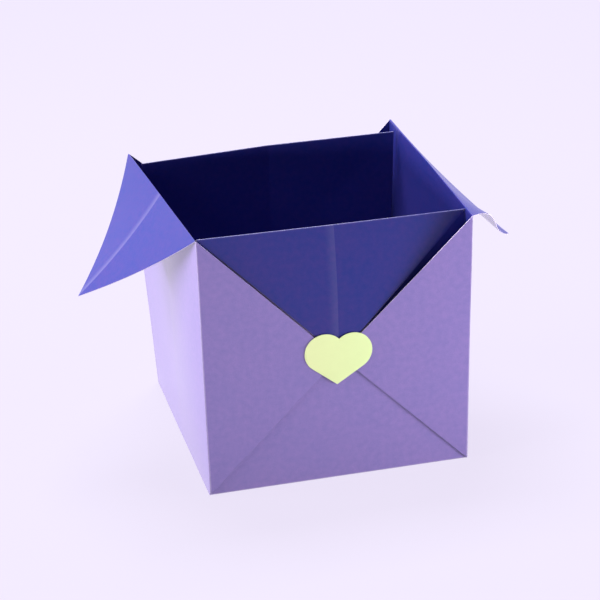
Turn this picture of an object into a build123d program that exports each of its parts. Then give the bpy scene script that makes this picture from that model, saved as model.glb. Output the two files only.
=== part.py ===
from build123d import *
import os
from collections import namedtuple
from math import cos, radians, sin, sqrt

# Origami gift box, folded from one square sheet. The bottom is the middle square of the
# sheet, the walls stand on its four edges, and the corner between two walls is folded in
# half as a dart that lies flat on the outside of the front or back wall. The sheet's four
# corners stick up past the walls: two are folded down over the front and back, and two
# stand open at the left and right as lid flaps.
# Frame: origin at the middle of the bottom, +Z up, front towards -Y. Millimetres.

# Sheet
box_side = 74.0             # bottom square, and each wall up to its crease
paper = 0.2                 # thickness of the sheet
layer_gap = 0.06            # air between two layers that lie on each other
crease_swell = 0.03         # how far the ridge of a crease stands out of the sheet
ground_gap = 0.01           # creases of the bottom stay this far off the ground
edge_gap = 0.4              # cut edge of a dart's inner layer to that of its outer layer
point_gap = 0.15            # from a dart's point to the middle of its face
dart_foot = 0.4             # height at which a dart's folded edge starts

# Upright edges, each as the paper springs. Stretch is what the top crease stands past the
# box's side along the edge. Splay and slant move the side wall's top corner outwards,
# sideways and towards the front or back. Lean moves the front or back wall's own corner in,
# spread moves it sideways. Droop is what the dart's point hangs below the middle.
front_left_stretch = 0.05
front_left_splay = 0.58
front_left_slant = -0.92
front_left_lean = 2.17
front_left_spread = 0.55
front_left_droop = 0.6
front_right_stretch = -1.1
front_right_splay = 0.12
front_right_slant = 0.6
front_right_lean = 4.89
front_right_spread = 0.1
front_right_droop = 0.2
back_left_stretch = -0.1
back_left_splay = 4.68
back_left_slant = 1.02
back_left_lean = 6.35
back_left_spread = 2.88
back_left_droop = 0.0
back_right_stretch = 2.3
back_right_splay = 0.31
back_right_slant = 0.2
back_right_lean = 7.17
back_right_spread = -0.5
back_right_droop = 0.0

# Lid flaps. The open angle is measured from straight up.
left_flap_short = 1.2       # the flap's point falls this much short of half the box
left_flap_open = 137.2
right_flap_short = 2.4
right_flap_open = 134.6
flap_sag = 1.0              # hollow of a flap between its crease and its point
flap_end_gap = 0.3          # each end of a flap's crease to the wall's corner
hinge_gap = 0.12            # air between a wall's top edge and its flap
lid_room = 0.15             # front and back end this much below the flaps' creases

# Heart sticker on the middle of the front
sticker_thickness = 0.12
sticker_gap = 0.14          # from the darts' outer face to the sticker
lobe_radius = 5.5
lobe_offset = 3.9           # from the heart's axis to the middle of a lobe
lobe_height = 0.6           # above the heart's middle
heart_depth = 8.9           # from the heart's middle down to its point
heart_shift = -0.2
heart_rise = 0.5            # the heart's middle to the middle of the front
heart_tilt = -3.0
heart_turn = 0.5            # its right side stands further out, as the right dart does

half = box_side / 2
middle = half - paper / 2                   # middle of the sheet in an upright wall
pitch = paper + layer_gap                   # from one layer to the next
crease_radius = paper / 2 + crease_swell
fold_radius = (pitch + paper) / 2 + crease_swell
crease_height = crease_radius + ground_gap
wall_half = middle - paper / 2 - layer_gap - fold_radius     # half width of front and back
hinge_out = paper + hinge_gap
hinge_rise = paper / 2 + hinge_gap

Corner = namedtuple("Corner", "stretch splay slant lean spread droop")
FRONT, BACK = -1, 1
LEFT, RIGHT = -1, 1
corners = {
    (FRONT, LEFT): Corner(
        front_left_stretch, front_left_splay, front_left_slant,
        front_left_lean, front_left_spread, front_left_droop,
    ),
    (FRONT, RIGHT): Corner(
        front_right_stretch, front_right_splay, front_right_slant,
        front_right_lean, front_right_spread, front_right_droop,
    ),
    (BACK, LEFT): Corner(
        back_left_stretch, back_left_splay, back_left_slant,
        back_left_lean, back_left_spread, back_left_droop,
    ),
    (BACK, RIGHT): Corner(
        back_right_stretch, back_right_splay, back_right_slant,
        back_right_lean, back_right_spread, back_right_droop,
    ),
}


def side_wall_top(face, hand):
    """Top corner of a side wall, on the middle of the sheet, at its flap's crease."""
    corner = corners[face, hand]
    top = sqrt((box_side + corner.stretch) ** 2 - corner.splay ** 2 - corner.slant ** 2)
    return Vector(hand * (middle + corner.splay), face * (middle + corner.slant), top)


def face_wall_top(face, hand, layer):
    """Top corner of a front or back layer. Layer 0 is the wall, 1 lies on it, 2 outermost."""
    corner = corners[face, hand]
    top = sqrt((box_side + corner.stretch) ** 2 - corner.lean ** 2) - lid_room - fold_radius
    width = wall_half + corner.spread
    return Vector(hand * width, face * (layer_depth(layer) - corner.lean), top)


def layer_depth(layer):
    """Distance of a layer's middle from the box's axis, at the bottom of the face."""
    return middle - (2 - layer) * pitch


def face_middle(face, layer, shift=0.0, rise=0.0):
    """The point of a layer at the middle of the front or back."""
    return Vector(shift, face * layer_depth(layer), half + rise)


def add_panel(*points):
    """A flat stretch of the sheet between three or more corners."""
    first, second, third = points[:3]
    plane = Plane(origin=first, x_dir=second - first, z_dir=(second - first).cross(third - first))
    with BuildSketch(plane) as outline:
        with BuildLine():
            Polyline([(local.X, local.Y) for local in map(plane.to_local_coords, points)], close=True)
        make_face()
    extrude(outline.sketch, amount=paper / 2, both=True)


def add_crease(start, end, radius):
    """The round ridge of a crease, along a straight line."""
    with BuildSketch(Plane(origin=start, z_dir=end - start)) as ridge:
        Circle(radius)
    extrude(ridge.sketch, amount=(end - start).length)


def wall_strip(start, end, up):
    """Section of a wall's edge, as long as the edge and as thick as the sheet."""
    along = end - start
    plane = Plane(origin=(start + end) / 2, x_dir=along, z_dir=along.cross(up).cross(along))
    with BuildSketch(plane) as strip:
        Rectangle(along.length, paper)
    return strip.sketch


def add_side_wall(hand):
    """Left or right wall, twisted between its bottom crease and its top edge."""
    bottom = [Vector(hand * middle, face * middle, crease_height) for face in (FRONT, BACK)]
    drop = Vector(0, 0, hinge_rise)
    top = [side_wall_top(face, hand) - drop for face in (FRONT, BACK)]
    lift = (top[0] + top[1]) / 2 - (bottom[0] + bottom[1]) / 2
    loft([wall_strip(*bottom, lift), wall_strip(*top, lift)], ruled=True)
    add_crease(*bottom, crease_radius)
    for start, end in zip(bottom, top):
        add_crease(start, end, crease_radius)


def add_face_wall(face):
    """Front or back wall: four panels that meet at the middle of the face."""
    centre = face_middle(face, 0)
    low = [Vector(hand * wall_half, face * layer_depth(0), crease_height) for hand in (LEFT, RIGHT)]
    high = [face_wall_top(face, hand, 0) for hand in (LEFT, RIGHT)]
    add_panel(low[0], low[1], centre)
    add_panel(high[0], high[1], centre)
    add_crease(low[0], low[1], crease_radius)
    for bottom, top in zip(low, high):
        add_panel(bottom, top, centre)
        add_crease(bottom, centre, crease_radius)
        add_crease(top, centre, crease_radius)


def add_dart(face, hand):
    """The corner of the sheet between two walls, folded in half and laid on the face."""
    corner = Vector(hand * middle, face * layer_depth(2), crease_height)
    foot = Vector(hand * wall_half, face * layer_depth(2), dart_foot)
    point = face_middle(face, 2, shift=hand * point_gap, rise=-corners[face, hand].droop)
    top = side_wall_top(face, hand) - Vector(0, 0, hinge_rise)
    add_panel(foot, point, top, corner)

    inward = Vector(0, face * pitch, 0)
    inner_top = face_wall_top(face, hand, 1)
    inner_point = point - inward - (point - foot).normalized() * edge_gap
    add_panel(foot - inward, inner_point, inner_top - Vector(0, 0, edge_gap * sqrt(2)))
    add_crease(foot - inward / 2, point - inward / 2, fold_radius)
    add_crease(foot - inward * 1.5, inner_top - inward / 2, fold_radius)


def add_tip(face):
    """The sheet's corner past the front or back wall, folded down on the outside."""
    left = face_wall_top(face, LEFT, 1)
    right = face_wall_top(face, RIGHT, 1)
    inset = (right - left).normalized() * paper
    add_panel(left + inset, right - inset, face_middle(face, 1))
    half_pitch = Vector(0, face * pitch / 2, 0)
    add_crease(left - half_pitch, right - half_pitch, fold_radius)


with BuildPart() as folded_sheet:
    with BuildSketch():
        Rectangle(2 * middle, 2 * layer_depth(0))
    extrude(amount=paper)
    for face in (FRONT, BACK):
        add_face_wall(face)
        add_tip(face)
        for hand in (LEFT, RIGHT):
            add_dart(face, hand)
    for hand in (LEFT, RIGHT):
        add_side_wall(hand)
folded_sheet.part.label = "folded_sheet"


def flap_plane(hand, open_angle):
    """Plane of an open flap: origin at the middle of its crease, x along the crease from
    front to back on the right and back to front on the left, y towards its point."""
    front, back = (side_wall_top(face, hand) for face in (FRONT, BACK))
    crease = (back - front).normalized() * hand
    up = crease.cross(Vector(0, 0, 1)).cross(crease).normalized()
    out = crease.cross(up)
    axis_point = (front + back) / 2 + out * hinge_out
    towards_point = up * cos(radians(open_angle)) + out * sin(radians(open_angle))
    return Plane(origin=axis_point, x_dir=crease, z_dir=crease.cross(towards_point))


def flap_half_width(hand):
    front, back = (side_wall_top(face, hand) for face in (FRONT, BACK))
    return (back - front).length / 2 - flap_end_gap


flaps = {}
for hand, name, short, open_angle in (
    (LEFT, "left_flap", left_flap_short, left_flap_open),
    (RIGHT, "right_flap", right_flap_short, right_flap_open),
):
    length = half - short
    plane = flap_plane(hand, open_angle)
    width = flap_half_width(hand)
    with BuildPart() as flap:
        end_plane = Plane(origin=plane.origin - plane.x_dir * width, x_dir=plane.y_dir, z_dir=plane.x_dir)
        with BuildSketch(end_plane):
            with BuildLine():
                hollow = SagittaArc((0, 0), (length, 0), flap_sag)
            SlotArc(hollow, paper)
        extrude(amount=2 * width)
        with BuildSketch(plane):
            with BuildLine():
                Polyline((-width, -paper), (width, -paper), (width, 0), (0, length), (-width, 0), close=True)
            make_face()
        extrude(amount=length, both=True, mode=Mode.INTERSECT)
    flap.part.label = name
    flaps[name] = flap.part

heart_across = Vector(cos(radians(heart_turn)), -sin(radians(heart_turn)), 0)
heart_plane = Plane(
    origin=(heart_shift, -half - sticker_gap, half + heart_rise),
    x_dir=heart_across * cos(radians(heart_tilt)) + Vector(0, 0, sin(radians(heart_tilt))),
    z_dir=heart_across.cross(Vector(0, 0, 1)),
)
with BuildPart() as heart_sticker:
    with BuildSketch(heart_plane):
        with Locations((-lobe_offset, lobe_height), (lobe_offset, lobe_height)):
            Circle(lobe_radius)
        depth = heart_depth + lobe_height
        sine = lobe_radius / sqrt(lobe_offset ** 2 + depth ** 2)
        cosine = sqrt(1 - sine ** 2)
        touch_x = lobe_offset + sine * (depth * cosine - lobe_offset * sine)
        touch_y = lobe_height - sine * (lobe_offset * cosine + depth * sine)
        with BuildLine():
            Polyline(
                (0, -heart_depth), (touch_x, touch_y), (lobe_offset, lobe_height),
                (-lobe_offset, lobe_height), (-touch_x, touch_y), close=True,
            )
        make_face()
    extrude(amount=sticker_thickness)
heart_sticker.part.label = "heart_sticker"

os.makedirs("parts", exist_ok=True)
export_step(folded_sheet.part, "parts/folded_sheet.step")
export_step(flaps["left_flap"], "parts/left_flap.step")
export_step(flaps["right_flap"], "parts/right_flap.step")
export_step(heart_sticker.part, "parts/heart_sticker.step")
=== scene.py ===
"""Dressed model of the origami gift box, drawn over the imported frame."""
from itertools import product
import math

import bpy
from bpy.props import FloatProperty, FloatVectorProperty, IntProperty, PointerProperty
from mathutils import Matrix, Vector
from mathutils.geometry import delaunay_2d_cdt


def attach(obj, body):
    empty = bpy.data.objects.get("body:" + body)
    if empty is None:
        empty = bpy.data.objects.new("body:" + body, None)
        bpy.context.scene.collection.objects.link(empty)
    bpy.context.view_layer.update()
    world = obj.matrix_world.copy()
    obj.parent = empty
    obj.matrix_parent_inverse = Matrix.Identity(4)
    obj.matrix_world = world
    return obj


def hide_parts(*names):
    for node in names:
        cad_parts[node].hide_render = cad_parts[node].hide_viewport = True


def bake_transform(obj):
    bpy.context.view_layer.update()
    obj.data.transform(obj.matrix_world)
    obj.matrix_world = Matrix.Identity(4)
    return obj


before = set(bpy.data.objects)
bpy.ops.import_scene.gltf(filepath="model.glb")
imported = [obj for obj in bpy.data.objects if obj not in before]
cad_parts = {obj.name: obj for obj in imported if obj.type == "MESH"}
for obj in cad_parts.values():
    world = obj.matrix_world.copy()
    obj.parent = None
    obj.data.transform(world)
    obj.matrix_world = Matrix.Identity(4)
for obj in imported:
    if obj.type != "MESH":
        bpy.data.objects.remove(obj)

bl_info = {
    "name": "Origami Box",
    "version": (1, 0, 0),
    "blender": (4, 5, 0),
    "location": "3D View > Sidebar > Origami Box",
    "description": "Folds a two-coloured square of paper into a gift box with lid flaps and a sticker",
    "category": "Object",
}

MM = 0.001
FRONT, BACK = FACES = (-1, 1)
LEFT, RIGHT = HANDS = (-1, 1)
STILL = (0.0, 0.0, 0.0)
NODES_IN_ROW, NODE_WIDTH, NODE_HEIGHT = 12, 180, 320
IMAGE_SIDE = 600

# Flat sheet: steps and rooms in millimetres, and its own map
ROW_STEP = 2.5
GRID_STEP = 2.1
ROW_ROOM = 0.9
MERGE_LENGTH = 0.004
SHEET_MAP = "Sheet"
MAP_SCALE = 100 * MM

# Folded sheet
WAVES = ("Wave height", "Wave length", "Wave seed")
SIDES = {"Outer side": "Lavender paper", "Inner side": "Blue paper", "Cut edge": "Cut edge"}
WAVE_ROUGHNESS = 0.45
BOW_SCALE, CURL_SCALE, BULGE_SCALE = 4.0, 10.4, 16.0    # each gives its form a height of 1
EDGE_SPREAD = 0.28      # share of its lift by which the folded-down corner's edge also moves inwards and up
BACK_BULGE = -0.6       # swell of a side wall's back half, to that of its front half
BEND_REACH = 0.5 * MM   # from a flap's hinge to where its bend starts, and to where it ends
FLOOR_GAP = 0.01 * MM
MERGE_DISTANCE = 2e-7
SHARP_ANGLE = 50

# Looks
BLACK, WHITE = (0.0, 0.0, 0.0, 1.0), (1.0, 1.0, 1.0, 1.0)
GRAIN = ((0.0, 380.0, 3.0, 0.6), (3.0, 60.0, 2.0, 0.5), (6.0, 7.0, 1.0, 0.5))   # seed step, scale, detail, roughness
EDGE_GRAIN, STICKER_GRAIN, GRAIN_DETAIL = 160.0, 500.0, 2.0
FOLD_WIDTH = 0.32 * MM / MAP_SCALE
HIGHLIGHT_BAND_WIDTH = 10.0       # painted highlight band beside an opened crease, in fold widths
FIBRE_SHADE = 0.2
# Strength of the painted shadow line along the darts' folded edges
DART_SHADE = 0.35

# Sticker
LOBE_STEPS = 28
STRAIGHT_STEPS = 12
DOME_STEP = 0.8         # in millimetres
DOME_REACH = 2.5 * MM

# Stage
FLOOR_RADIUS = 3.0
FLOOR_SIDES = 64
FADE_START, FADE_END = 0.25, 0.7
SHADOW_DEPTH = 0.05
FLOOR_LEVEL = 2.0
FLOOR_BOUNCE = 0.2
LAMP_TARGET = 0.05


def length(name, default, description):
    """A size that a user may change, with its default in millimetres."""
    return FloatProperty(name=name, default=default * MM, description=description, unit="LENGTH", precision=5)


def turn(name, degrees, description):
    """An angle that a user may change."""
    return FloatProperty(name=name, default=math.radians(degrees), description=description, unit="ROTATION")


def upright(name, *values):
    """How one upright edge of the box has sprung: seven lengths, given in millimetres."""
    return FloatVectorProperty(
        name=name, size=7, default=[value * MM for value in values], unit="LENGTH", precision=5,
        description="Stretch, splay and slant of the side wall's top corner; lean, spread and rise of the face's own; "
                    "droop of the dart's point",
    )


def paint(name, red, green, blue, description):
    """A colour that a user may change, as the linear values of a screen colour."""
    linear = [channel_value(value / 255) for value in (red, green, blue)]
    return FloatVectorProperty(
        name=name, size=3, subtype="COLOR", min=0.0, max=1.0, default=linear, description=description,
    )


def watts(name, value, description):
    """A lamp's power."""
    return FloatProperty(name=name, default=value, description=description, unit="POWER")


def channel_value(value):
    """Linear light of a screen value from 0 to 1."""
    return value / 12.92 if value <= 0.04045 else ((value + 0.055) / 1.055) ** 2.4


class SheetSizes(bpy.types.PropertyGroup):
    """Sizes of the folded sheet."""

    side: length("Box side", 74, "Side of the bottom, and height of each wall to its crease")
    paper: length("Sheet with its air", 0.2, "Room that one layer takes up in the folded box")
    layer_gap: length("Layer gap", 0.06, "Air between two layers that lie on each other")
    shown_paper: length("Paper", 0.16, "Thickness of the paper as it is drawn")
    crease_swell: length("Crease swell", 0.03, "How far the ridge of a crease stands out")
    dart_foot: length("Dart foot", 0.3, "Height at which a dart's folded edge starts, and as far in")
    edge_gap: length("Edge gap", 0.5, "Point of a dart's inner layer to that of its outer layer")
    left_lift: length("Left lift", 0.5, "How far the folded-down corner's left edge stands off the face")
    right_lift: length("Right lift", 1.6, "How far the folded-down corner's right edge stands off the face")
    lid_room: length("Lid room", 0.15, "Front and back end this much below the flaps' creases")
    front_left: upright("Front left edge", 0.05, 0.58, -0.92, 2.5, 0.5, 0.1, 0.7)
    front_right: upright("Front right edge", -1.1, 0.12, 0.6, 5.3, 0.5, 0.3, 0.2)
    back_left: upright("Back left edge", -0.1, 4.68, 1.02, 6.35, 2.88, -0.1, 0.0)
    back_right: upright("Back right edge", 2.3, 0.31, 0.2, 7.17, -0.5, -0.4, 0.0)
    flat_fold: length("Flat fold", 0.17, "Half the width of paper that turns in a fold laid flat")
    bend: length("Bend", 0.24, "Half the width of paper that turns in an open fold")
    mark: length("Crease mark", 0.8, "Half the width of a crease that was opened again")
    press: length("Pressed line", 1.0, "Half the width of a line pressed through from the layer above")
    front_ridge: length("Front ridge", 0.35, "How far the front's middle crease stands out at the top")
    back_ridge: length("Back ridge", 2.0, "How far the back's middle crease stands out at the top")
    right_ridge: length("Right ridge", 0.4, "How far the right wall's middle crease stands out at the top")
    floor_ridge: length("Bottom ridge", 0.35, "How far the crossing creases lift the middle of the bottom")
    wall_bulge: length("Wall bulge", 0.7, "How far each half of a side wall swells between its creases")
    wave_height: length("Wave height", 0.28, "Height of the paper's slow waves")
    wave_length: length("Wave length", 34, "Length of the paper's slow waves")
    wave_seed: FloatProperty(name="Wave seed", default=4.2, description="Picks the paper's waves")


class FlapSizes(bpy.types.PropertyGroup):
    """Sizes of the two lid flaps."""

    left_open: turn("Left flap open", 137.2, "Angle of the left flap from straight up")
    right_open: turn("Right flap open", 134.6, "Angle of the right flap from straight up")
    left_short: length("Left flap short", 1.2, "The left flap's point falls this much short")
    right_short: length("Right flap short", 2.4, "The right flap's point falls this much short")
    hinge_gap: length("Hinge gap", 0.12, "Air between a wall's top edge and its flap in the frame")
    sag: length("Sag", 1.0, "Hollow of a flap along its middle crease")
    left_front: length("Left front hollow", 1.2, "Hollow of the left flap's front cut edge")
    left_back: length("Left back hollow", 1.9, "Hollow of the left flap's back cut edge")
    right_front: length("Right front hollow", -1.2, "Hollow of the right flap's front cut edge")
    right_back: length("Right back hollow", 1.15, "Hollow of the right flap's back cut edge")
    right_curl: length("Right curl", 1.4, "How far the right flap's front cut edge swings up and then down")
    seam: length("Seam", 0.6, "Strip of wall below the crease that belongs to the flap's piece")


class StickerSizes(bpy.types.PropertyGroup):
    """Sizes of the heart sticker."""

    lobe_radius: length("Lobe radius", 5.5, "Radius of the heart's two lobes")
    lobe_offset: length("Lobe offset", 3.9, "From the heart's axis to the middle of a lobe")
    lobe_height: length("Lobe height", 0.6, "Middle of a lobe above the heart's middle")
    depth: length("Depth", 8.9, "From the heart's middle down to its point")
    shift: length("Shift", -0.2, "Heart's middle to the right of the middle of the front")
    rise: length("Rise", 0.5, "Heart's middle above the middle of the front")
    tilt: turn("Tilt", -3.0, "Turn of the heart on the front")
    turned: turn("Turned", 0.5, "How far the heart's right side stands out with the right dart")
    thickness: length("Thickness", 0.15, "Thickness of the sticker as it is drawn")
    gap: length("Gap", 0.07, "From the darts' paper to the back of the sticker")
    rounding: length("Rounding", 0.08, "Rounding of the sticker's front edge")
    dome: length("Dome", 0.12, "How far the middle of the sticker stands out")


class Colours(bpy.types.PropertyGroup):
    """Colours of the paper, the sticker and the background."""

    lavender: paint("Lavender", 139, 119, 191, "Outer side of the sheet")
    blue: paint("Blue", 45, 48, 132, "Inner side of the sheet")
    core: paint("Paper core", 226, 212, 238, "Cut edge, and what shows where a crease has worn")
    sticker: paint("Sticker", 240, 253, 184, "Face of the heart sticker")
    backdrop: paint("Backdrop", 242, 234, 255, "Floor and background")


class StageSizes(bpy.types.PropertyGroup):
    """Camera and lamps."""

    azimuth: turn("Azimuth", -14.33, "Camera's angle round the box, from the front")
    elevation: turn("Elevation", 23.58, "Camera's angle above the floor")
    roll: turn("Roll", -1.28, "Camera's turn about its own axis")
    distance: length("Distance", 543.5, "From the camera to the point that it looks at")
    focus_pixels: FloatProperty(
        name="Focal length in pixels", default=1906.0, description="Focal length for an image 600 pixels wide",
    )
    target: FloatVectorProperty(
        name="Target", size=3, default=(-1.0 * MM, 0.3 * MM, 37.84 * MM), unit="LENGTH", precision=5,
        description="Point that the camera looks at",
    )
    left_low: watts("Left low", 6.2, "Power of the low lamp on the left")
    left: watts("Left", 4.1, "Power of the lamp on the left")
    rear: watts("Rear", 19.5, "Power of the high lamp behind")
    right_low: watts("Right low", 0.52, "Power of the low lamp near the front's right edge")
    right: watts("Right", 1.4, "Power of the lamp at the front's right")
    front: watts("Front", 0.65, "Power of the low lamp in front")
    sky: FloatProperty(name="Sky", default=0.03, description="Strength of the light from all round")
    seed: IntProperty(name="Seed", default=7, description="Picks the paper's fibres and patches")


class BoxSettings(bpy.types.PropertyGroup):
    """Everything that shapes and colours the box."""

    sheet: PointerProperty(type=SheetSizes)
    flaps: PointerProperty(type=FlapSizes)
    sticker: PointerProperty(type=StickerSizes)
    colours: PointerProperty(type=Colours)
    stage: PointerProperty(type=StageSizes)


# Places in the folded box

class Fold:
    """Where the corners of the sheet lie in the folded box, in metres."""

    def __init__(self, settings):
        self.sheet = sheet = settings.sheet
        self.flaps = settings.flaps
        self.half = sheet.side / 2
        self.middle = self.half - sheet.paper / 2
        self.pitch = sheet.paper + sheet.layer_gap
        self.fold_radius = (self.pitch + sheet.paper) / 2 + sheet.crease_swell
        self.wall_half = self.middle - sheet.paper / 2 - sheet.layer_gap - self.fold_radius
        self.crease_height = sheet.paper / 2 + sheet.crease_swell
        self.corners = {
            (FRONT, LEFT): sheet.front_left, (FRONT, RIGHT): sheet.front_right,
            (BACK, LEFT): sheet.back_left, (BACK, RIGHT): sheet.back_right,
        }

    def flat(self, across, along):
        """A place on the flat sheet, in half sides from its middle."""
        return Vector((across * self.half, along * self.half, 0.0))

    def layer_depth(self, layer):
        """Distance of a layer's middle from the box's axis, at the bottom of the face."""
        return self.middle - (2 - layer) * self.pitch

    def side_top(self, face, hand):
        """Top corner of a side wall, at its flap's crease."""
        stretch, splay, slant, *_ = self.corners[face, hand]
        top = math.sqrt((self.sheet.side + stretch) ** 2 - splay ** 2 - slant ** 2)
        return Vector((hand * (self.middle + splay), face * (self.middle + slant), top))

    def face_top(self, face, hand, layer):
        """Top corner of a front or back layer: 0 is the wall, and 1 lies on it."""
        stretch, _, _, lean, spread, rise, _ = self.corners[face, hand]
        top = math.sqrt((self.sheet.side + stretch) ** 2 - lean ** 2) - self.sheet.lid_room - self.fold_radius
        return Vector((hand * (self.wall_half + spread), face * (self.layer_depth(layer) - lean), top + rise))

    def face_middle(self, face, layer, rise=0.0):
        """The middle of the front or back, in one layer."""
        return Vector((0.0, face * self.layer_depth(layer), self.half + rise))

    def hinge(self, hand):
        """Middle of a flap's hinge axis, with the directions along it, outwards and upwards."""
        front, back = (self.side_top(face, hand) for face in (FRONT, BACK))
        along = (back - front).normalized()
        up = along.cross(Vector((0, 0, 1))).cross(along).normalized()
        out = along.cross(up) * hand
        place = (front + back) / 2 + out * (self.sheet.paper + self.flaps.hinge_gap)
        return place, along, out, up, (back - front).length / 2

    def side_middle(self, hand):
        """The middle of a side wall's top, at its flap's crease."""
        ridge = self.sheet.right_ridge if hand == RIGHT else 0.0
        return (self.side_top(FRONT, hand) + self.side_top(BACK, hand)) / 2 + Vector((hand * ridge, 0, 0))

    def flap_place(self, hand, along_share, out_share, below=0.0):
        """A place on an open flap, in shares of its crease and its length."""
        place, along, out, up, half_crease = self.hinge(hand)
        opened = self.flaps.left_open if hand == LEFT else self.flaps.right_open
        short = self.flaps.left_short if hand == LEFT else self.flaps.right_short
        reach = up * math.cos(opened) + out * math.sin(opened)
        under = out * math.cos(opened) - up * math.sin(opened)
        return place + along * (half_crease * along_share) + reach * ((self.half - short) * out_share) + under * below


def creases(fold):
    """Every crease of the sheet: its ends on the flat sheet, its half width, and the shares of it that get a row."""
    sheet = fold.sheet
    full, slight, faint = (0.0, 0.3, 0.6, 1.0, 1.6), (0.0, 0.5, 1.0), (0.0, 1.0)
    lines = [((-4, 0), (4, 0), sheet.mark, slight), ((0, -4), (0, 4), sheet.mark, slight)]
    for one in (-1, 1):
        lines.append(((-1, one), (1, one), sheet.bend, full))
        lines.append(((one, -1), (one, 1), sheet.bend, full))
        lines.append(((-1, 3 * one), (1, 3 * one), sheet.flat_fold, full))
        lines.append(((3 * one, -1), (3 * one, 1), sheet.bend, full))
        for two in (-1, 1):
            lines.append(((one, two), (3 * one, two), sheet.bend, full))
            lines.append(((one, two), (one, 3 * two), sheet.flat_fold, full))
            lines.append(((one, two), (2 * one, 2 * two), sheet.flat_fold, full))
            lines.append(((one, two), (0, 2 * two), sheet.press, faint))
            lines.append(((one, 3 * two), (0, 2 * two), sheet.press, faint))
    return lines


# Flat sheet

def clipped(start, end, reach):
    """The part of a line inside the diamond |x| + |y| <= reach, or None."""
    low, high = 0.0, 1.0
    step = end - start
    for signs in product((-1, 1), repeat=2):
        normal = Vector(signs)
        room, speed = reach - normal.dot(start), normal.dot(step)
        if abs(speed) < 1e-9:
            if room < -1e-6:
                return None
        elif speed > 0:
            high = min(high, room / speed)
        else:
            low = max(low, room / speed)
    return (start + step * low, start + step * high) if high - low > 1e-6 else None


class FlatMesh:
    """Points and lines on the flat sheet, in millimetres, and the triangles between them."""

    def __init__(self, fold):
        self.half = fold.half / MM
        self.reach = 4 * self.half
        self.points = []
        self.lines = []
        self.guards = []
        for start, end, width, shares in creases(fold):
            self.add_crease(Vector(start) * self.half, Vector(end) * self.half, width / MM, shares)
        seam = 3 * self.half - fold.flaps.seam / MM
        for hand in (LEFT, RIGHT):
            self.add_line(Vector((hand * seam, seam - self.reach)), Vector((hand * seam, self.reach - seam)))
        self.add_outline()
        self.add_grid()

    def add_line(self, start, end, step=ROW_STEP):
        """A row of points from start to end, joined."""
        count = max(1, math.ceil((end - start).length / step))
        first = len(self.points)
        self.points += [start.lerp(end, i / count) for i in range(count + 1)]
        self.lines += [(first + i, first + i + 1) for i in range(count)]

    def add_crease(self, start, end, width, shares):
        """Rows of points along a crease, on it and beside it."""
        along = (end - start).normalized()
        across = Vector((-along.y, along.x))
        self.guards.append((start, end, width * shares[-1] + ROW_ROOM))
        for share in shares:
            for side in ((1,) if share == 0 else (-1, 1)):
                shift = across * (width * share * side)
                row = clipped(start + shift, end + shift, self.reach)
                if row:
                    self.add_line(*row)

    def add_outline(self):
        """The sheet's four cut edges."""
        ends = [Vector(end) * self.reach for end in ((1, 0), (0, 1), (-1, 0), (0, -1))]
        for start, end in zip(ends, ends[1:] + ends[:1]):
            self.add_line(start, end, GRID_STEP)

    def add_grid(self):
        """Points between the creases, in staggered rows."""
        rise = GRID_STEP * math.sqrt(3) / 2
        rows = int(self.reach / rise)
        for row in range(-rows, rows + 1):
            stagger = GRID_STEP / 2 * (row % 2)
            room = self.reach - abs(row * rise) - ROW_ROOM * math.sqrt(2)
            columns = int(self.reach / GRID_STEP)
            for column in range(-columns, columns + 1):
                point = Vector((column * GRID_STEP + stagger, row * rise))
                if abs(point.x) < room and not self.near_crease(point):
                    self.points.append(point)

    def near_crease(self, point):
        """True if the point is too near the rows of a crease."""
        for start, end, room in self.guards:
            along = end - start
            share = max(0.0, min(1.0, (point - start).dot(along) / along.length_squared))
            if (point - start - along * share).length_squared < room * room:
                return True
        return False

    def triangles(self):
        """(points, triangles) of the whole sheet."""
        points, _, faces, *_ = delaunay_2d_cdt(self.points, self.lines, [], 0, MERGE_LENGTH, False)

        def is_sliver(face):
            return sum(abs(points[i].x) + abs(points[i].y) for i in face) / 3 > self.reach - MERGE_LENGTH

        return points, [face for face in faces if not is_sliver(face)]


def linked(name, data):
    """An object in the scene."""
    made = bpy.data.objects.new(name, data)
    bpy.context.scene.collection.objects.link(made)
    return made


def flat_piece(name, points, faces):
    """A mesh object of some of the flat sheet's triangles, with the sheet's own map."""
    used = sorted({corner for face in faces for corner in face})
    index = {old: new for new, old in enumerate(used)}
    mesh = bpy.data.meshes.new(name)
    mesh.from_pydata(
        [(points[i].x * MM, points[i].y * MM, 0.0) for i in used], [], [[index[i] for i in face] for face in faces]
    )
    flat_map = mesh.uv_layers.new(name=SHEET_MAP)
    for loop in mesh.loops:
        flat_map.data[loop.index].uv = mesh.vertices[loop.vertex_index].co.xy / MAP_SCALE
    return linked(name, mesh)


# Node trees

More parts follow.
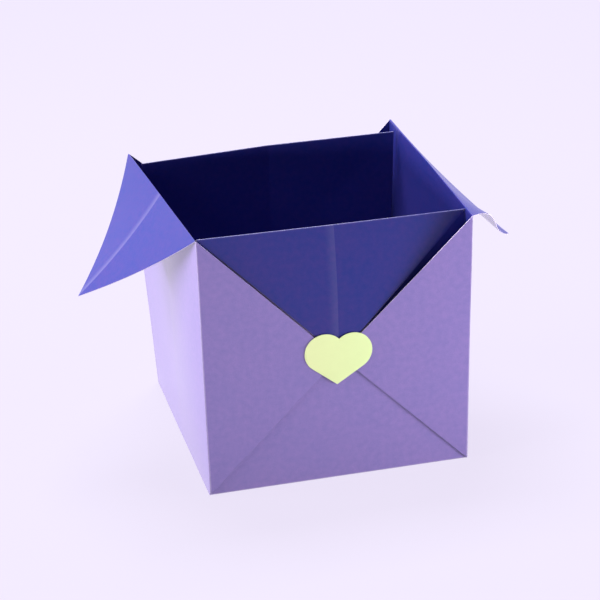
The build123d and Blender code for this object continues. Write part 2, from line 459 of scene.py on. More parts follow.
class Value:
    """A node's output to reckon with. Each operator adds one node to its tree."""

    def __init__(self, socket):
        self.socket = socket
        self.tree = socket.id_data
        self.is_vector = socket.type == "VECTOR"

    def math(self, operation, *others):
        """A Math node, or for a vector a Vector Math node."""
        kind = "ShaderNodeVectorMath" if self.is_vector else "ShaderNodeMath"
        return put(self.tree, kind, self, *others, operation=operation)

    def __add__(self, other):
        return self.math("ADD", other)

    def __sub__(self, other):
        return self.math("SUBTRACT", other)

    def __rsub__(self, number):
        return put(self.tree, "ShaderNodeMath", number, self, operation="SUBTRACT")

    def __mul__(self, other):
        return self.math("SCALE", None, None, other) if self.is_vector else self.math("MULTIPLY", other)

    def __truediv__(self, other):
        return self.math("DIVIDE", other)

    def __rtruediv__(self, number):
        return put(self.tree, "ShaderNodeMath", number, self, operation="DIVIDE")

    def __abs__(self):
        return self.math("ABSOLUTE")

    def __gt__(self, other):
        return self.math("GREATER_THAN", other)

    def dot(self, other):
        """The dot product of two vectors."""
        return put(self.tree, "ShaderNodeVectorMath", self, other, operation="DOT_PRODUCT", output=1)

    def parts(self):
        """The three parts of a vector."""
        return add(self.tree, "ShaderNodeSeparateXYZ", {0: self})


def feed(node, values):
    """Sets or links a node's inputs, by index or name."""
    for key, value in values.items():
        if isinstance(value, Value):
            node.id_data.links.new(value.socket, node.inputs[key])
        elif value is not None:
            node.inputs[key].default_value = value


def add(tree, kind, values, **settings):
    """A node with its inputs and settings. Returns its outputs."""
    row, column = divmod(len(tree.nodes), NODES_IN_ROW)
    node = tree.nodes.new(kind)
    node.location = (column * NODE_WIDTH, -row * NODE_HEIGHT)
    for name, value in settings.items():
        setattr(node, name, value)
    feed(node, values)
    return [Value(socket) for socket in node.outputs]


def put(tree, kind, *values, output=0, **settings):
    """A node with its inputs in their order. Returns one output."""
    return add(tree, kind, dict(enumerate(values)), **settings)[output]


def is_number(value, number):
    """True where a whole number is the one that is asked for."""
    return add(value.tree, "FunctionNodeCompare", {2: value, 3: number}, data_type="INT", operation="EQUAL")[0]


def noise_at(place, *values):
    """Noise at a place, by its seed, scale, detail and roughness."""
    return put(place.tree, "ShaderNodeTexNoise", place, *values, noise_dimensions="4D")


def new_group(kind, name, inputs, outputs):
    """A node group with the sockets that are named for each kind: (tree, its inputs by name, its output node)."""
    tree = bpy.data.node_groups.new(name, kind)
    for way, sockets in (("INPUT", inputs), ("OUTPUT", outputs)):
        for socket_kind, labels in sockets.items():
            for label in labels:
                tree.interface.new_socket(name=label, in_out=way, socket_type=f"NodeSocket{socket_kind}")
    source, result = tree.nodes.new("NodeGroupInput"), tree.nodes.new("NodeGroupOutput")
    source.location, result.location = (-2 * NODE_WIDTH, 0), (NODES_IN_ROW * NODE_WIDTH, 0)
    return tree, {socket.name: Value(socket) for socket in source.outputs if socket.name}, result


def once(name):
    """Lets a function make its node group once. From then on the group is found by its name."""
    return lambda make: lambda *given: bpy.data.node_groups.get(name) or make(*given)


def held_share(distances, start, end):
    """How fully a facet holds a place, for each of its edges: 0 before start, 1 past end."""
    kind = {"data_type": "FLOAT_VECTOR", "interpolation_type": "SMOOTHSTEP"}
    return add(distances.tree, "ShaderNodeMapRange", {6: distances, 7: start, 8: end}, **kind)[1].parts()


FACET_OUTPUTS = {"Float": ["Weight"], "Vector": ["Weighted place"]}


@once("Fold triangle")
def triangle_group():
    """Geometry node group that carries the flat sheet onto one triangle of the folded box."""
    letters = "ABC"
    vectors = [f"{what} {letter}" for what in ("Flat", "Folded", "Bow", "Curl") for letter in letters]
    tree, given, result = new_group(
        "GeometryNodeTree", "Fold triangle", {"Vector": [*vectors, "Fold start", "Fold end"]}, FACET_OUTPUTS,
    )
    place = put(tree, "GeometryNodeInputPosition")
    shares, distances = [], []
    for i, letter in enumerate(letters):
        start, end = (given[f"Flat {letters[(i + k) % 3]}"] for k in (1, 2))
        across = put(tree, "ShaderNodeVectorMath", (0, 0, 1), end - start, operation="CROSS_PRODUCT")
        inward = across.math("NORMALIZE")
        height = inward.dot(given[f"Flat {letter}"] - start)
        shares.append(inward.dot(place - start) / height)
        distances.append(shares[i] * abs(height))
    held = held_share(put(tree, "ShaderNodeCombineXYZ", *distances), given["Fold start"], given["Fold end"])
    weight = held[0] * held[1] * held[2]
    parts = []
    for i, letter in enumerate(letters):
        one, other = shares[(i + 1) % 3], shares[(i + 2) % 3]
        both = one * other
        bow = given[f"Bow {letter}"] * (both * BOW_SCALE)
        curl = given[f"Curl {letter}"] * (both * (one - other) * CURL_SCALE)
        parts.append(given[f"Folded {letter}"] * shares[i] + (bow + curl))
    feed(result, {0: weight, 1: sum(parts[1:], parts[0]) * weight})
    return tree


@once("Fold rectangle")
def rectangle_group():
    """Geometry node group that carries the flat sheet onto one four-cornered, slightly twisted facet."""
    vectors = ["Low", "High", "Folded low", "Folded right", "Folded up", "Folded high", "Bulge"]
    spans = ["Low start", "Low end", "High start", "High end"]
    tree, given, result = new_group("GeometryNodeTree", "Fold rectangle", {"Vector": vectors + spans}, FACET_OUTPUTS)
    place = put(tree, "GeometryNodeInputPosition")
    from_low, to_high = place - given["Low"], given["High"] - place
    right, up, _ = (from_low / (given["High"] - given["Low"])).parts()
    low = held_share(from_low, given["Low start"], given["Low end"])
    high = held_share(to_high, given["High start"], given["High end"])
    weight = low[0] * low[1] * (high[0] * high[1])
    left, down = 1.0 - right, 1.0 - up
    shares = (("low", left, down), ("right", right, down), ("up", left, up), ("high", right, up))
    parts = [given[f"Folded {corner}"] * (one * other) for corner, one, other in shares]
    bulge = given["Bulge"] * (left * right * (down * up) * BULGE_SCALE)
    feed(result, {0: weight, 1: (sum(parts[1:], parts[0]) + bulge) * weight})
    return tree


@once("Paper waves")
def waves_group():
    """Geometry node group for the slow waves of a sheet that has been handled."""
    tree, given, result = new_group("GeometryNodeTree", "Paper waves", {"Float": WAVES}, {"Vector": ["Offset"]})
    height, length_of_wave, seed = (given[name] for name in WAVES)
    across, deep, high = put(tree, "GeometryNodeInputPosition").parts()
    offsets = []
    for sideways, seed_step in ((deep, 0.0), (across, 5.0)):
        place = put(tree, "ShaderNodeCombineXYZ", sideways, high, 0.0)
        noise = noise_at(place, seed + seed_step, 1.0 / length_of_wave, 1.0, WAVE_ROUGHNESS)
        offsets.append((noise - 0.5) * height)
    feed(result, {0: put(tree, "ShaderNodeCombineXYZ", *offsets, 0.0)})
    return tree


@once("Thicken sheet")
def thicken_group():
    """Geometry node group that gives a sheet its two sides and its cut edge, and marks which is which."""
    geometry = {"Geometry": ["Geometry"]}
    tree, given, result = new_group("GeometryNodeTree", "Thicken sheet", {**geometry, "Float": ["Thickness"]}, geometry)
    capture = tree.nodes.new("GeometryNodeCaptureAttribute")
    capture.domain = "POINT"
    capture.capture_items.new("VECTOR", "Normal")
    feed(capture, {0: given["Geometry"], 1: put(tree, "GeometryNodeInputNormal")})
    sheet, normal = (Value(capture.outputs[i]) for i in (0, 1))
    half = given["Thickness"] * 0.5
    above, below = normal * half, normal * (half * -1.0)
    inner = put(tree, "GeometryNodeSetPosition", sheet, None, None, above)
    outer = put(tree, "GeometryNodeFlipFaces", put(tree, "GeometryNodeSetPosition", sheet, None, None, below))
    is_rim = is_number(put(tree, "GeometryNodeInputMeshEdgeNeighbors"), 1)
    rim, top, side = add(tree, "GeometryNodeExtrudeMesh", {0: sheet, 1: is_rim, 3: 0.0}, mode="EDGES")
    rim = put(tree, "GeometryNodeSetPosition", rim, top, None, above)
    bottom = put(tree, "FunctionNodeBooleanMath", top, operation="NOT")
    rim = put(tree, "GeometryNodeSetPosition", rim, bottom, None, below)
    rim = put(tree, "GeometryNodeSeparateGeometry", rim, side, domain="FACE")
    join = tree.nodes.new("GeometryNodeJoinGeometry")
    for number, part in enumerate((outer, inner, rim)):
        feed(join, {0: add(
            tree, "GeometryNodeStoreNamedAttribute", {0: part, 2: "side", 3: number}, data_type="INT", domain="FACE",
        )[0]})
    feed(result, {0: put(tree, "GeometryNodeMergeByDistance", Value(join.outputs[0]), None, MERGE_DISTANCE)})
    return tree


def span(softness):
    """Where a facet starts and ends to let go across an edge. None is a cut edge, which never lets go."""
    return (-softness, softness) if softness else (-2.0, -1.0)


class Folder:
    """Adds facets to a fold tree, and sums them up."""

    def __init__(self, tree):
        self.tree = tree
        self.weight = None
        self.place = None

    def add(self, group, values):
        """Adds one facet's share to the sums."""
        weight, place = add(self.tree, "GeometryNodeGroup", values, node_tree=group)
        self.weight = self.weight + weight if self.weight else weight
        self.place = self.place + place if self.place else place

    def triangle(self, flat, folded, soft, bows=(STILL,) * 3, curls=(STILL,) * 3):
        """Three corners, with how soft the edge opposite each is, and how it bows and curls."""
        spans = [span(softness) for softness in soft]
        values = {"Fold start": [low for low, _ in spans], "Fold end": [high for _, high in spans]}
        for what, vectors in (("Flat", flat), ("Folded", folded), ("Bow", bows), ("Curl", curls)):
            values |= {f"{what} {letter}": vector for letter, vector in zip("ABC", vectors)}
        self.add(triangle_group(), values)

    def rectangle(self, low, high, folded, soft_low, soft_high, bulge=STILL):
        """Opposite flat corners, four folded ones, and how soft the edges are: left and lower, right and upper."""
        names = ("Folded low", "Folded right", "Folded up", "Folded high")
        values = {"Low": low, "High": high, "Bulge": bulge, **dict(zip(names, folded))}
        for name, soft in (("Low", soft_low), ("High", soft_high)):
            spans = [span(softness) for softness in (*soft, None)]
            values |= {f"{name} start": [start for start, _ in spans], f"{name} end": [end for _, end in spans]}
        self.add(rectangle_group(), values)


def fold_bottom(folder, fold):
    """The bottom: four quarters that meet at the crossing creases."""
    sheet = fold.sheet
    deep = fold.layer_depth(0)

    def folded(across, along):
        lift = sheet.floor_ridge * (1 - abs(across)) * (1 - abs(along))
        return Vector((across * fold.middle, along * deep, sheet.paper / 2 + lift))

    for across in (-1, 0):
        for along in (-1, 0):
            corners = [(across, along), (across + 1, along), (across, along + 1), (across + 1, along + 1)]
            folder.rectangle(
                fold.flat(*corners[0]), fold.flat(*corners[3]), [folded(*corner) for corner in corners],
                [sheet.bend if end else sheet.mark for end in (across, along)],
                [sheet.mark if end else sheet.bend for end in (across, along)],
            )


def fold_face(folder, fold, face):
    """Front or back wall, and the sheet's corner that is folded down over it."""
    sheet = fold.sheet
    centre = fold.face_middle(face, 0)
    low_middle = Vector((0, face * fold.layer_depth(0), fold.crease_height))
    ridge = Vector((0, face * (sheet.front_ridge if face == FRONT else sheet.back_ridge), 0))
    tops = [[fold.face_top(face, hand, layer) for hand in HANDS] for layer in (0, 1)]
    wall_top, tip_top = ((left + right) / 2 + ridge for left, right in tops)
    point = fold.face_middle(face, 1, -min(fold.corners[face, hand][-1] for hand in HANDS))
    lifts = (sheet.left_lift, sheet.right_lift)
    middle_lift = Vector((0, face * sum(lifts) / 2, 0))
    flat_low, flat_centre, flat_top, flat_point = (fold.flat(0, face * along) for along in (1, 2, 3, 4))
    for hand, lift, wall_corner, tip_corner in zip(HANDS, lifts, *tops):
        flat_bottom_corner, flat_top_corner = fold.flat(hand, face), fold.flat(hand, face * 3)
        bottom = Vector((hand * fold.wall_half, face * fold.layer_depth(0), fold.crease_height))
        folder.triangle(
            (flat_bottom_corner, flat_low, flat_centre), (bottom, low_middle, centre),
            (sheet.mark, sheet.press, sheet.bend),
        )
        folder.triangle(
            (flat_bottom_corner, flat_centre, flat_top_corner), (bottom, centre, wall_corner),
            (sheet.press, sheet.flat_fold, sheet.press),
        )
        folder.triangle(
            (flat_top_corner, flat_centre, flat_top), (wall_corner, centre, wall_top),
            (sheet.mark, sheet.flat_fold, sheet.press),
        )
        edge_lift = Vector((-hand * EDGE_SPREAD, face, EDGE_SPREAD)) * lift
        folder.triangle(
            (flat_top_corner, flat_top, flat_point), (tip_corner, tip_top, point),
            (sheet.mark, None, sheet.flat_fold), (middle_lift, edge_lift, STILL),
        )


def fold_dart(folder, fold, face, hand):
    """The corner of the sheet between two walls, folded in half and laid on the face."""
    sheet = fold.sheet
    flat_corner, flat_point = fold.flat(hand, face), fold.flat(2 * hand, 2 * face)
    foot = Vector((hand * (fold.middle - sheet.dart_foot), face * fold.layer_depth(2), sheet.dart_foot))
    point = fold.face_middle(face, 2, -fold.corners[face, hand][-1])
    folder.triangle(
        (flat_corner, fold.flat(3 * hand, face), flat_point), (foot, fold.side_top(face, hand), point),
        (None, sheet.flat_fold, sheet.bend),
    )
    inward = Vector((0, -face * fold.pitch, 0))
    along = (point - foot).normalized()
    inner_foot = foot + along * (fold.middle - fold.wall_half - sheet.dart_foot) * math.sqrt(2)
    folder.triangle(
        (flat_corner, fold.flat(hand, 3 * face), flat_point),
        (inner_foot + inward, fold.face_top(face, hand, 1), point - along * sheet.edge_gap + inward),
        (None, sheet.flat_fold, sheet.flat_fold),
    )


def fold_side(folder, fold, hand):
    """Left or right wall, in two halves beside its opened middle crease."""
    sheet = fold.sheet
    low, high = sorted((hand, 3 * hand))
    bottoms = {face: Vector((hand * fold.middle, face * fold.middle, fold.crease_height)) for face in (-1, 0, 1)}
    tops = {face: fold.side_top(face, hand) for face in FACES} | {0: fold.side_middle(hand)}
    ends = (tops, bottoms) if hand == LEFT else (bottoms, tops)
    bulge = Vector((hand * sheet.wall_bulge, 0, 0))
    for along, swell in ((-1, bulge), (0, bulge * BACK_BULGE)):
        folder.rectangle(
            fold.flat(low, along), fold.flat(high, along + 1), [end[along + i] for i in (0, 1) for end in ends],
            (sheet.bend, sheet.bend if along else sheet.mark), (sheet.bend, sheet.mark if along else sheet.bend), swell,
        )


def fold_flap(folder, fold, hand):
    """An open lid flap, in two halves beside its opened middle crease."""
    sheet, flaps = fold.sheet, fold.flaps
    below = fold.flap_place(hand, 0, 0, 1) - fold.flap_place(hand, 0, 0)
    hollows = (flaps.left_front, flaps.left_back) if hand == LEFT else (flaps.right_front, flaps.right_back)
    for face, hollow in zip(FACES, hollows):
        curl = flaps.right_curl if (face, hand) == (FRONT, RIGHT) else 0.0
        folder.triangle(
            (fold.flat(3 * hand, face), fold.flat(3 * hand, 0), fold.flat(4 * hand, 0)),
            (fold.flap_place(hand, face, 0), fold.side_middle(hand), fold.flap_place(hand, 0, 1)),
            (sheet.mark, None, sheet.bend), (below * flaps.sag, below * hollow, STILL), (STILL, below * curl, STILL),
        )


def waved(geometry, given):
    """The geometry, moved by the paper's slow waves."""
    sizes = {name: given[name] for name in WAVES}
    offset = add(geometry.tree, "GeometryNodeGroup", sizes, node_tree=waves_group())[0]
    return put(geometry.tree, "GeometryNodeSetPosition", geometry, None, None, offset)


@once("Fold sheet")
def fold_tree(settings):
    """The tree that folds any part of the flat sheet, gives it its waves and its thickness, and paints it."""
    tree, given, result = new_group(
        "GeometryNodeTree", "Fold sheet",
        {"Geometry": ["Flat sheet"], "Float": ["Thickness", *WAVES], "Material": SIDES}, {"Geometry": ["Folded sheet"]},
    )
    fold, folder = Fold(settings), Folder(tree)
    fold_bottom(folder, fold)
    for face in FACES:
        fold_face(folder, fold, face)
        for hand in HANDS:
            fold_dart(folder, fold, face, hand)
    for hand in HANDS:
        fold_side(folder, fold, hand)
        fold_flap(folder, fold, hand)
    place = folder.place * (1.0 / folder.weight)
    folded = waved(put(tree, "GeometryNodeSetPosition", given["Flat sheet"], None, place), given)
    sheet = {"Geometry": folded, "Thickness": given["Thickness"]}
    thick = add(tree, "GeometryNodeGroup", sheet, node_tree=thicken_group())[0]
    on_floor = put(tree, "GeometryNodeInputPosition").math("MAXIMUM", (-1.0, -1.0, FLOOR_GAP))
    stood = put(tree, "GeometryNodeSetPosition", thick, None, on_floor)
    painted = put(tree, "GeometryNodeRealizeInstances", stood)
    side = add(tree, "GeometryNodeInputNamedAttribute", {0: "side"}, data_type="INT")[0]
    for number, name in enumerate(SIDES):
        chosen = is_number(side, number) if number else None
        painted = put(tree, "GeometryNodeSetMaterial", painted, chosen, given[name])
    feed(result, {0: painted})
    return tree


def shaped(piece, tree, settings, values):
    """Runs a piece through a node tree, which leaves a plain closed mesh."""
    sheet = settings.sheet
    values |= dict(zip(WAVES, (sheet.wave_height, sheet.wave_length, sheet.wave_seed)))
    modifier = piece.modifiers.new(tree.name, "NODES")
    modifier.node_group = tree
    for item in tree.interface.items_tree:
        if item.in_out == "INPUT" and item.name in values:
            modifier[item.identifier] = values[item.name]
    graph = bpy.context.evaluated_depsgraph_get()
    graph.update()
    mesh = bpy.data.meshes.new_from_object(piece.evaluated_get(graph), preserve_all_data_layers=True, depsgraph=graph)
    piece.modifiers.clear()
    piece.data = mesh
    mesh.name = piece.name
    mesh.shade_smooth()
    mesh.set_sharp_from_angle(angle=math.radians(SHARP_ANGLE))
    if not mesh.polygons:
        raise RuntimeError(f"{piece.name} has no faces")
    return piece


# Materials

@once("Paper grain")
def grain_group():
    """Shader node group for the fibres, patches and clouds of coloured paper."""
    tree, given, result = new_group(
        "ShaderNodeTree", "Paper grain",
        {"Vector": ["Place"], "Float": ["Seed"]}, {"Float": ["Shade", "Tint", "Height"]},
    )
    fibres, patches, clouds = (
        noise_at(given["Place"], given["Seed"] + seed_step, *sizes) for seed_step, *sizes in GRAIN
    )
    feed(result, {0: fibres * 0.8 + patches * 0.2, 1: patches * 0.65 + clouds * 0.35, 2: patches * 0.6 + fibres})
    return tree


@once("Crease wear")
def wear_and_light_group():
    """Shader node group: 1 on the sheet's worn folds, on a painted highlight band beside its corners' opened creases,
    and on a painted shadow line along its darts' folds.
    """
    tree, given, result = new_group(
        "ShaderNodeTree", "Crease wear",
        {"Vector": ["Place"], "Float": ["Half side", "Width", "Grain"]}, {"Float": ["Folds", "Marks", "Darts"]},
    )
    right, back, _ = given["Place"].parts()
    across, along, half = abs(right), abs(back), given["Half side"]
    larger, smaller = (across.math(operation, along) for operation in ("MAXIMUM", "MINIMUM"))
    outer = half * 3.0

    def line(distance, width_share=1.0):
        width = given["Width"] * width_share
        return put(tree, "ShaderNodeMapRange", distance, 0.0, width, 1.0, 0.0, interpolation_type="SMOOTHSTEP")

    folds = abs(larger - half).math("MINIMUM", abs(smaller - half)).math("MINIMUM", abs(along - outer))
    sideways = across > along
    beside = sideways * (right + back) - right
    shown = (beside > 0.0) * (larger > outer) * (sideways * 0.5 + 0.5)
    feed(result, {
        0: line(folds) * (given["Grain"] * 1.3 + 0.35),
        # Painted highlight: a light band on one side of the flaps' middle creases, and at half strength beside the
        # folded-down corners' middle creases
        1: line(beside, HIGHLIGHT_BAND_WIDTH) * shown,
        # Painted shadow: a dark line along the darts' folded edges, where shade falls beside the raised layers
        2: line(abs(larger - smaller)) * (smaller > half),
    })
    return tree


def new_material(name):
    """A material with its tree, its Principled BSDF and nothing else."""
    made = bpy.data.materials.new(name)
    made.use_nodes = True
    return made, made.node_tree, made.node_tree.nodes["Principled BSDF"]


def mixed(factor, one, other):
    """A colour mix."""
    return add(factor.tree, "ShaderNodeMix", {0: factor, 6: one, 7: other}, data_type="RGBA")[2]


def spread(value, low, high, to_low=0.0, to_high=1.0):
    """A noise value's middle range, spread out."""
    return put(value.tree, "ShaderNodeMapRange", value, low, high, to_low, to_high)


def tone(colour, factor=1.0, pull=(0, 0, 0)):
    """A colour made lighter or darker, and pulled by a little of another."""
    return [min(1.0, max(0.0, part * factor + more)) for part, more in zip(colour, pull)] + [1.0]


def bumped(height, strength, distance):
    """The surface's direction, with a height worked into it."""
    return add(height.tree, "ShaderNodeBump", {"Strength": strength, "Distance": distance, "Height": height})[0]


def paper_material(settings, name, colour, coat, fold_wear, band_highlight):
    """One coloured side of the sheet: fibres, patches of warmer and cooler tint, worn creases, a painted highlight band
    beside the opened middle creases, and painted shadow along the darts' folds.
    """
    made, tree, shader = new_material(name)
    place = put(tree, "ShaderNodeUVMap", uv_map=SHEET_MAP)
    seed = float(settings.stage.seed)
    shade, tint, height = add(tree, "ShaderNodeGroup", {0: place, 1: seed}, node_tree=grain_group())
    sizes = {"Place": place, "Half side": settings.sheet.side / 2 / MAP_SCALE, "Width": FOLD_WIDTH, "Grain": shade}
    folds, marks, darts = add(tree, "ShaderNodeGroup", sizes, node_tree=wear_and_light_group())
    core = tone(settings.colours.core)
    body = mixed(
        spread(tint, 0.36, 0.64), tone(colour, 0.97, (-0.008, 0.0, 0.012)), tone(colour, 1.03, (0.012, 0.0, -0.006)),
    )
    # Laid over the body in turn: fibre shade, worn folds, the painted highlight band, and the painted shadow along the
    # darts
    for share, over in (
        (spread(shade, 0.3, 0.7, FIBRE_SHADE, 0.0), BLACK), (folds * fold_wear, core), (marks * band_highlight, core),
        (darts * DART_SHADE, BLACK),
    ):
        body = mixed(share, body, over)
    feed(shader, {
        "Base Color": body, "Roughness": spread(shade, 0.3, 0.7, 0.35, 0.45), "Specular IOR Level": 0.25,
        "Coat Weight": coat, "Coat Roughness": 0.2, "Coat IOR": 1.6, "Normal": bumped(height, 0.35, 0.05 * MM),
    })
    return made


def edge_material(settings):
    """The cut edge: the paper's pale core, streaked along its length."""
    made, tree, shader = new_material("Cut edge")
    place = put(tree, "ShaderNodeUVMap", uv_map=SHEET_MAP)
    noise = put(tree, "ShaderNodeTexNoise", place, None, EDGE_GRAIN, GRAIN_DETAIL)
    core = settings.colours.core
    feed(shader, {"Base Color": mixed(noise, tone(core, 0.75), tone(core)), "Roughness": 0.8})
    return made


def sticker_material(settings):
    """The sticker's face: smooth coated paper, with painted light that makes it warmer and a little lighter to the
    left.
    """
    made, tree, shader = new_material("Sticker face")
    place = put(tree, "ShaderNodeTexCoord", output=3)
    noise = put(tree, "ShaderNodeTexNoise", place, None, STICKER_GRAIN, GRAIN_DETAIL)
    colour = settings.colours.sticker
    # Painted light: the face goes from warmer and lighter at the left to cooler and a little darker at the right
    side = spread(place.parts()[0], -9 * MM, 6 * MM)
    body = mixed(side, tone(colour, 1.0, (0.0, -0.03, 0.0)), tone(colour, 0.98, (-0.03, 0.0, 0.0)))
    feed(shader, {
        "Base Color": mixed(spread(noise, 0.35, 0.65, 0.0, 0.06), body, tone(colour, 0.8)),
        "Roughness": spread(noise, 0.3, 0.7, 0.38, 0.46), "Normal": bumped(noise, 0.2, 0.03 * MM),
    })
    return made


def paper_materials(settings):
    """Outer side, inner side and cut edge of the sheet, by the fold tree's input names."""
    if "Cut edge" not in bpy.data.materials:
        paper_material(settings, "Lavender paper", settings.colours.lavender, 1.0, 0.3, 0.05)
        paper_material(settings, "Blue paper", settings.colours.blue, 0.25, 0.1, 0.075)
        edge_material(settings)
    return {side: bpy.data.materials[name] for side, name in SIDES.items()}


# Pieces

def fold_piece(settings, name, hand):
    """Folds the box, which is hand 0, or one flap from its share of the flat sheet."""
    fold = Fold(settings)
    points, faces = FlatMesh(fold).triangles()
    seam = (3 * fold.half - fold.flaps.seam) / MM

    def owner(face):
        across = sum(points[i].x for i in face) / 3
        return 0 if abs(across) < seam else int(math.copysign(1, across))

    piece = flat_piece(name, points, [face for face in faces if owner(face) == hand])
    materials = paper_materials(settings)
    piece.data.materials.append(materials["Outer side"])
    return shaped(piece, fold_tree(settings), settings, {"Thickness": settings.sheet.shown_paper, **materials})


def heart_outline(sizes, inset):
    """Points round the heart, counter-clockwise from its point, drawn in by inset."""
    offset, height = sizes.lobe_offset, sizes.lobe_height
    radius = sizes.lobe_radius - inset
    rise = height + sizes.depth
    bearing = math.atan2(rise, offset) - math.asin(sizes.lobe_radius / math.hypot(offset, rise))
    start, end = bearing - math.pi / 2, math.pi - math.acos(offset / radius)
    angles = [start + (end - start) * i / LOBE_STEPS for i in range(LOBE_STEPS + 1)]
    lobe = [(offset + radius * math.cos(angle), height + radius * math.sin(angle)) for angle in angles]
    point = (0.0, inset / math.cos(bearing) - sizes.depth)
    right = [
        tuple(a + (b - a) * i / STRAIGHT_STEPS for a, b in zip(point, lobe[0])) for i in range(STRAIGHT_STEPS)
    ] + lobe
    return right + [(-x, y) for x, y in reversed(right[1:-1])]


def heart_mesh(settings):
    """The sticker: a flat back, a rounded rim and a slightly domed face, lying in the plane z = 0."""
    sizes = settings.sticker
    thick, rounding = sizes.thickness, sizes.rounding
    profile = [(0.0, 0.0)] + [
        (rounding * (1 - math.cos(angle)), thick - rounding * (1 - math.sin(angle)))
        for angle in map(math.radians, (0, 30, 60, 90))
    ]
    rings = [[(x, y, level) for x, y in heart_outline(sizes, inset)] for inset, level in profile]
    vertices = [vertex for ring in rings for vertex in ring]
    count = len(rings[0])
    last = count * (len(rings) - 1)
    lines = [(i, (i + 1) % count) for i in range(count)]
    faces = [(low + i, low + j, low + count + j, low + count + i) for low in range(0, last, count) for i, j in lines]
    faces.append(tuple(reversed(range(count))))
    edge = [Vector(vertex[:2]) / MM for vertex in rings[-1]]

    def room(point):
        return min((point - other).length for other in edge)

    reach = int(sizes.depth / MM / DOME_STEP) + 2
    steps = range(-reach, reach + 1)
    spots = [Vector(((column + row % 2 / 2) * DOME_STEP, row * DOME_STEP)) for row in steps for column in steps]
    inner = [spot for spot in spots if room(spot) > DOME_STEP / 2]
    points, _, fill, origin, *_ = delaunay_2d_cdt(edge + inner, lines, [list(range(count))], 1, 1e-4)
    index = []
    for point, olds in zip(points, origin):
        known = [last + old for old in olds if old < count]
        index.append(known[0] if known else len(vertices))
        if not known:
            lift = sizes.dome * (1 - math.exp(-room(point) * MM / DOME_REACH))
            vertices.append((point.x * MM, point.y * MM, thick + lift))
    faces += [tuple(index[i] for i in face) for face in fill]
    mesh = bpy.data.meshes.new("heart_sticker_face")
    mesh.from_pydata(vertices, [], faces)
    mesh.update()
    return mesh


@once("Lay sticker")
def sticker_tree():
    """The tree that lays a sticker on the paper's waves and paints it."""
    sticker = {"Geometry": ["Sticker"]}
    tree, given, result = new_group(
        "GeometryNodeTree", "Lay sticker", {**sticker, "Float": WAVES, "Material": ["Face"]}, sticker,
    )
    laid = put(tree, "GeometryNodeRealizeInstances", waved(given["Sticker"], given))
    feed(result, {0: put(tree, "GeometryNodeSetMaterial", laid, None, given["Face"])})
    return tree


class FoldBox(bpy.types.Operator):
    """Folds the sheet up to the lid flaps' creases: bottom, walls, corner darts and the folded-down corners."""

    bl_idname = "origami_box.fold_box"
    bl_label = "Fold the box"

    def execute(self, context):
        piece = fold_piece(context.scene.origami_box, "box_paper", 0)
        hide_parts("folded_sheet")
        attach(piece, "box")
        return {"FINISHED"}


class FoldFlaps(bpy.types.Operator):
    """Folds the two lid flaps, each with the strip of wall that its crease bends in."""

    bl_idname = "origami_box.fold_flaps"
    bl_label = "Fold the lid flaps"

    def execute(self, context):
        settings = context.scene.origami_box
        for hand, name in ((LEFT, "left_flap"), (RIGHT, "right_flap")):
            piece = fold_piece(settings, name + "_paper", hand)
            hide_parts(name)
            place, _, out, *_ = Fold(settings).hinge(hand)
            ridge = settings.sheet.right_ridge if hand == RIGHT else 0.0
            start, end = place - out * BEND_REACH, place + out * (BEND_REACH + ridge)
            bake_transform(piece)
        return {"FINISHED"}


class StickHeart(bpy.types.Operator):
    """Makes the heart sticker and sticks it on the middle of the front."""

    bl_idname = "origami_box.stick_heart"
    bl_label = "Stick the heart"

    def execute(self, context):
        settings = context.scene.origami_box
        sizes = settings.sticker
        fold = Fold(settings)
        face = sticker_material(settings)
        mesh = heart_mesh(settings)
        mesh.materials.append(face)
        front = fold.middle + settings.sheet.shown_paper / 2 + sizes.gap
        place = Matrix.Translation((sizes.shift, -front, fold.half + sizes.rise))
        turned = Matrix.Rotation(-sizes.turned, 4, "Z") @ Matrix.Rotation(-sizes.tilt, 4, "Y")
        mesh.transform(place @ turned @ Matrix.Rotation(math.pi / 2, 4, "X"))
        piece = shaped(linked("heart_face", mesh), sticker_tree(), settings, {"Face": face})
        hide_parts("heart_sticker")
        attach(piece, "box")
        return {"FINISHED"}


# Stage

def seen_directly(tree):
    """1 for what the camera sees, also in glossy and see-through surfaces, and 0 for light that bounces."""
    path = tree.nodes.new("ShaderNodeLightPath").outputs
    camera, glossy, through = (Value(path[f"Is {kind} Ray"]) for kind in ("Camera", "Glossy", "Transmission"))
    return camera.math("MAXIMUM", glossy).math("MAXIMUM", through)


def floor_material(settings):
    """The floor: the backdrop's colour, with a soft shadow near the box that fades out with distance."""
    made, tree, shader = new_material("Floor")
    backdrop = settings.colours.backdrop
    tree.nodes.remove(shader)
    radius = put(tree, "ShaderNodeVectorMath", put(tree, "ShaderNodeTexCoord", output=3), operation="LENGTH", output=1)
    near = spread(radius, FADE_START, FADE_END, SHADOW_DEPTH, 0.0)
    glow = put(tree, "ShaderNodeEmission", tone(backdrop), near * -FLOOR_LEVEL + 1.0)
    matte = put(tree, "ShaderNodeBsdfDiffuse", mixed(near, BLACK, tone(backdrop)))
    plain = put(tree, "ShaderNodeBsdfDiffuse", tone(backdrop, FLOOR_BOUNCE))
    seen = put(tree, "ShaderNodeAddShader", glow, matte)
    feed(tree.nodes["Material Output"], {0: put(tree, "ShaderNodeMixShader", seen_directly(tree), plain, seen)})
    return made


def set_world(settings):
    """Plain background, and a weak light from all round."""
    world = bpy.data.worlds.new("Studio")
    world.use_nodes = True
    tree = world.node_tree
    tree.nodes.clear()
    light = put(tree, "ShaderNodeBackground", WHITE, settings.stage.sky)
    shown = put(tree, "ShaderNodeBackground", tone(settings.colours.backdrop), 1.0)
    both = put(tree, "ShaderNodeMixShader", seen_directly(tree), light, shown)
    feed(tree.nodes.new("ShaderNodeOutputWorld"), {0: both})
    bpy.context.scene.world = world


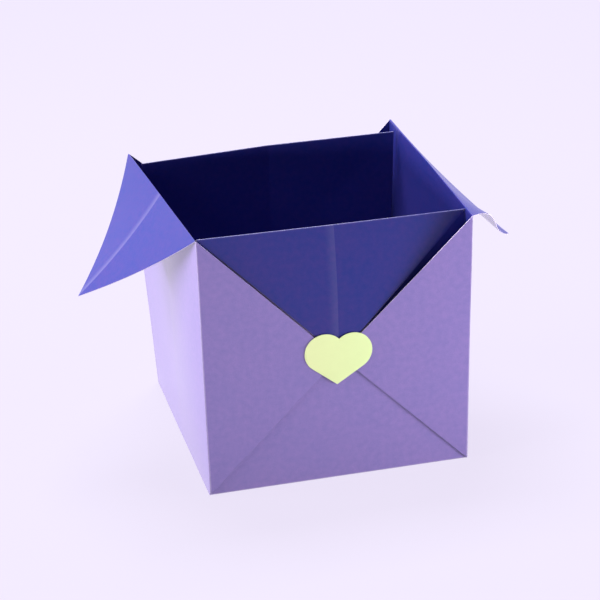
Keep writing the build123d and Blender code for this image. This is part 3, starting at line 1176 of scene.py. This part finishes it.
def add_lamp(name, power, azimuth, elevation, distance, width, height, mirrored=True):
    """A soft rectangular lamp that looks at the box, placed by its bearing in degrees."""
    bearing, climb = math.radians(azimuth), math.radians(elevation)
    towards = Vector((math.sin(bearing) * math.cos(climb), -math.cos(bearing) * math.cos(climb), math.sin(climb)))
    data = bpy.data.lights.new(name, "AREA")
    data.shape = "RECTANGLE"
    data.size, data.size_y = width, height
    data.energy = power
    lamp = linked(name, data)
    lamp.location = Vector((0, 0, LAMP_TARGET)) + towards * distance
    lamp.visible_glossy = mirrored
    lamp.rotation_mode = "QUATERNION"
    lamp.rotation_quaternion = towards.to_track_quat("Z", "Y")


def add_camera(sizes):
    """The camera, at the photograph's viewing angle."""
    data = bpy.data.cameras.new("Camera")
    data.sensor_width = 36.0
    data.lens = sizes.focus_pixels * data.sensor_width / IMAGE_SIDE
    camera = linked("Camera", data)
    flat = math.cos(sizes.elevation)
    back = Vector((math.sin(sizes.azimuth) * flat, -math.cos(sizes.azimuth) * flat, math.sin(sizes.elevation)))
    turn_to = back.to_track_quat("Z", "Y").to_matrix().to_4x4()
    place = Matrix.Translation(Vector(sizes.target) + back * sizes.distance)
    camera.matrix_world = place @ turn_to @ Matrix.Rotation(sizes.roll, 4, "Z")
    bpy.context.scene.camera = camera


class SetStage(bpy.types.Operator):
    """Sets up the floor, the background, the lamps and the camera."""

    bl_idname = "origami_box.set_stage"
    bl_label = "Set the stage"

    def execute(self, context):
        settings = context.scene.origami_box
        mesh = bpy.data.meshes.new("floor")
        angles = [2 * math.pi * i / FLOOR_SIDES for i in range(FLOOR_SIDES)]
        ring = [(FLOOR_RADIUS * math.cos(angle), FLOOR_RADIUS * math.sin(angle), 0.0) for angle in angles]
        mesh.from_pydata(ring, [], [list(range(FLOOR_SIDES))])
        mesh.materials.append(floor_material(settings))
        linked("floor", mesh)
        set_world(settings)
        stage = settings.stage
        add_lamp("Left low", stage.left_low, -90, 3, 0.8, 0.5, 0.1)
        add_lamp("Left", stage.left, -90, 33, 0.8, 0.5, 0.3)
        add_lamp("Rear", stage.rear, 180, 65, 0.9, 0.6, 0.3)
        add_lamp("Right low", stage.right_low, 50, 0, 0.3, 0.2, 0.04, False)
        add_lamp("Right", stage.right, 65, 2, 0.5, 0.3, 0.06, False)
        add_lamp("Front", stage.front, -30, 2, 0.6, 0.4, 0.06, False)
        add_camera(stage)
        context.scene.view_settings.view_transform = "Standard"
        return {"FINISHED"}


OPERATORS = (FoldBox, FoldFlaps, StickHeart, SetStage)


class BoxPanel(bpy.types.Panel):
    """Lists the steps and sizes of the origami box."""

    bl_idname = "VIEW3D_PT_origami_box"
    bl_label = "Origami Box"
    bl_space_type = "VIEW_3D"
    bl_region_type = "UI"
    bl_category = "Origami Box"

    def draw(self, context):
        settings = context.scene.origami_box
        for operator in OPERATORS:
            self.layout.operator(operator.bl_idname)
        for name in ("sheet", "flaps", "sticker", "colours", "stage"):
            group = getattr(settings, name)
            box = self.layout.box()
            for field in group.__annotations__:
                box.prop(group, field)


CLASSES = (SheetSizes, FlapSizes, StickerSizes, Colours, StageSizes, BoxSettings, *OPERATORS, BoxPanel)


def register():
    """Registers the classes, and the settings on the scene."""
    for cls in CLASSES:
        bpy.utils.register_class(cls)
    bpy.types.Scene.origami_box = PointerProperty(type=BoxSettings)


def unregister():
    """Takes away what register() added."""
    del bpy.types.Scene.origami_box
    for cls in reversed(CLASSES):
        bpy.utils.unregister_class(cls)


def main():
    """Builds the whole scene."""
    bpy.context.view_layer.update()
    register()
    bpy.ops.origami_box.fold_box()
    bpy.ops.origami_box.fold_flaps()
    bpy.ops.origami_box.stick_heart()
    bpy.ops.origami_box.set_stage()


if __name__ == "__main__":
    main()
